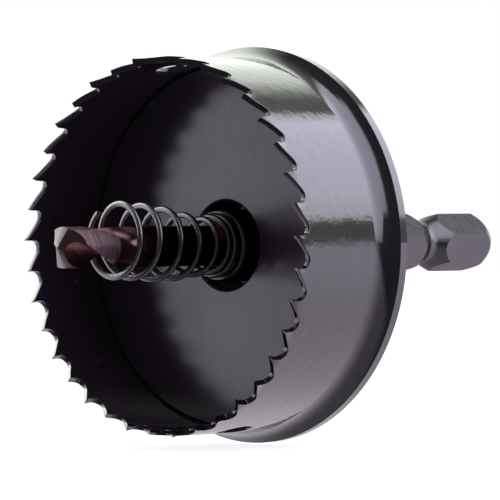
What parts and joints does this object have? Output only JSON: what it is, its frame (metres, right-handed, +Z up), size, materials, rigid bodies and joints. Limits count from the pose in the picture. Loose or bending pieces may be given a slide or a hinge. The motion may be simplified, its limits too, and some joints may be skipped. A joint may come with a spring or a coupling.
{
  "type": "hole saw",
  "caption": "Shallow toothed steel cup with a flared stop flange, a split-point pilot drill inside a waisted ejector spring, and a hexagon quick-change shank.",
  "frame": {"origin": "on the tool's axis, in the plane of the flange's back face", "axes": "+Y along the tool's axis from the pilot drill towards the shank's end; +Z up and +X to the right when looking along +Y"},
  "size_m": [0.0472, 0.074, 0.0472],
  "materials": {
    "band_enamel": "gloss black enamel over a steel strip, bare steel on the tooth tips",
    "base_enamel": "gloss black enamel outside, satin black on the cup's floor",
    "arbor_steel": "dark oxide, satin",
    "drill_coating": "red-brown coated high-speed steel, ground flutes and point",
    "spring_steel": "oiled dark spring wire",
    "braze": "copper-coloured, heat-stained"
  },
  "bodies": {
    "root": {"saw_band": "band_enamel", "flanged_base": "base_enamel", "arbor": "arbor_steel", "pilot_drill": "drill_coating", "ejector_spring": "spring_steel", "pilot_braze": "braze"}
  },
  "joints": []
}
